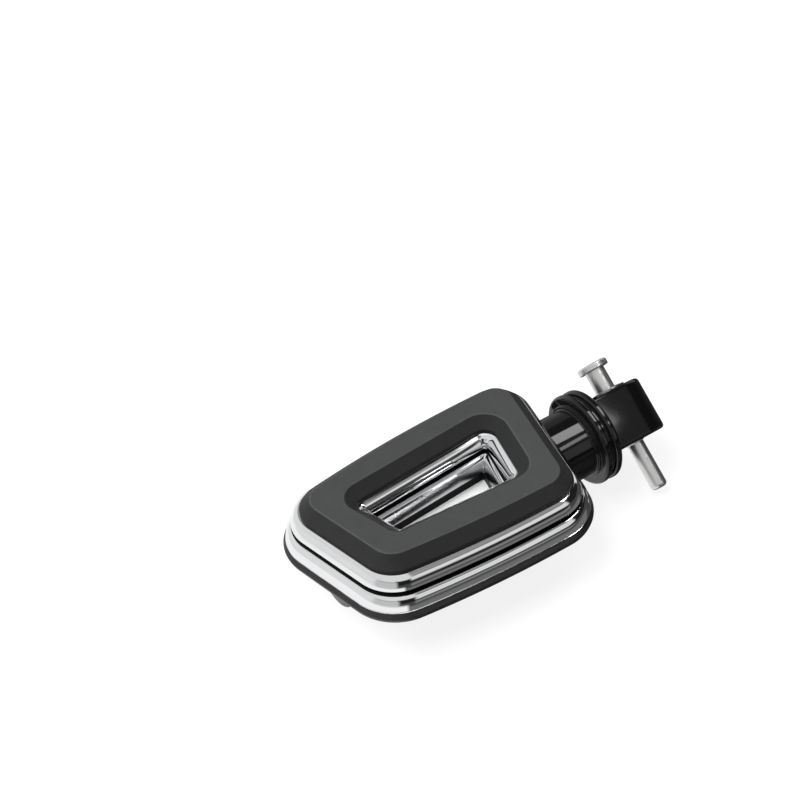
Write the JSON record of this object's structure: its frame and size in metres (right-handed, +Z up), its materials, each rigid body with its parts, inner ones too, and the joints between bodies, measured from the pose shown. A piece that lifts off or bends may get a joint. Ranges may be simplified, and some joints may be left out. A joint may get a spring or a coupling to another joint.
{
  "type": "foot peg",
  "caption": "Folding passenger foot peg with a rubber tread, bright stepped casting with a window, black base and stem, turning on a slanted clevis pin",
  "frame": {"origin": "the middle of the fold pin's lower journal, on the pin's axis, where the bracket's lower arm holds it", "axes": "+X along the stem out to the tip of the peg, +Y to the rear of the motorcycle, +Z up, square to the flat top of the tread; the pin's lower end leans 37.4 degrees down from +Y"},
  "size_m": [0.154, 0.0786, 0.0411],
  "materials": {
    "tread_pad": "matte",
    "ridge_casting": "chrome plated",
    "base_casting": "satin black paint",
    "mount_stem": "gloss black",
    "clevis_pin": "zinc plated",
    "spring_washer": "plain",
    "base_screws": "black oxide",
    "stem_set_screws": "black oxide"
  },
  "bodies": {
    "pivot": {"clevis_pin": "clevis_pin", "spring_washer": "spring_washer"},
    "peg": {"tread_pad": "tread_pad", "ridge_casting": "ridge_casting", "base_casting": "base_casting", "mount_stem": "mount_stem", "base_screws": "base_screws", "stem_set_screws": "stem_set_screws"}
  },
  "joints": [
    {"name": "fold", "type": "hinge", "parent": "pivot", "child": "peg", "pos_m": [0, 0, 0], "axis": [0, -0.7944, 0.6074], "range_deg": [0, 90]}
  ]
}
